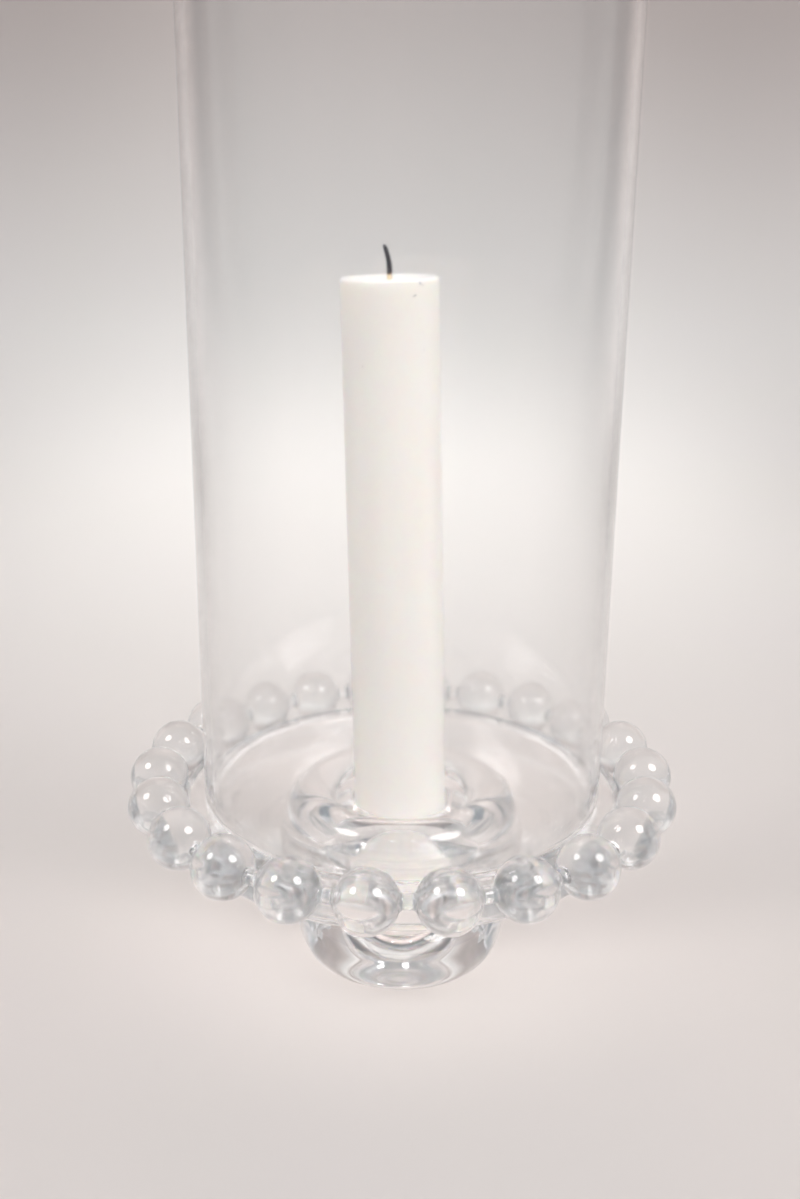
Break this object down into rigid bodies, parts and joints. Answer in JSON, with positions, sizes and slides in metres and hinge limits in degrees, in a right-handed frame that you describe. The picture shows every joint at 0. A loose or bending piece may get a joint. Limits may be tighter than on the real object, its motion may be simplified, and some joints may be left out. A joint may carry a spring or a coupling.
{
  "type": "hurricane lantern",
  "caption": "Clear glass hurricane candle holder: a footed dish edged with linked beads, a ring cup with a leaning dinner candle, and an open glass chimney that lifts off.",
  "frame": {"origin": "centre of the foot, on the table", "axes": "+Z is the lamp's upright axis; the picture looks roughly along +Y, and the candle leans towards -X"},
  "size_m": [0.1342, 0.133, 0.2853],
  "materials": {
    "holder_glass": "clear pressed glass, fire polished",
    "bead_glass": "clear pressed glass beads, fire polished",
    "chimney_glass": "thin clear drawn glass, melted rims",
    "wax": "smooth white candle wax, slightly see-through at the edges",
    "wick": "braided cotton, burnt black above the wax"
  },
  "bodies": {
    "holder": {"foot": "holder_glass", "dish": "holder_glass", "candle_cup": "holder_glass", "bead_01": "bead_glass", "bead_02": "bead_glass", "bead_03": "bead_glass", "bead_04": "bead_glass", "bead_05": "bead_glass", "bead_06": "bead_glass", "bead_07": "bead_glass", "bead_08": "bead_glass", "bead_09": "bead_glass", "bead_10": "bead_glass", "bead_11": "bead_glass", "bead_12": "bead_glass", "bead_13": "bead_glass", "bead_14": "bead_glass", "bead_15": "bead_glass", "bead_16": "bead_glass", "bead_17": "bead_glass", "bead_18": "bead_glass", "bead_19": "bead_glass", "bead_20": "bead_glass", "bead_21": "bead_glass", "bead_22": "bead_glass"},
    "chimney": {"chimney": "chimney_glass"},
    "candle": {"candle": "wax", "wick": "wick"}
  },
  "joints": [
    {"name": "chimney_lift", "type": "slide", "parent": "holder", "child": "chimney", "axis": [0, 0, 1], "range_m": [0, 0.165]},
    {"name": "candle_lift", "type": "slide", "parent": "holder", "child": "candle", "axis": [-0.0279, 0, 0.9996], "range_m": [0, 0.03]}
  ]
}
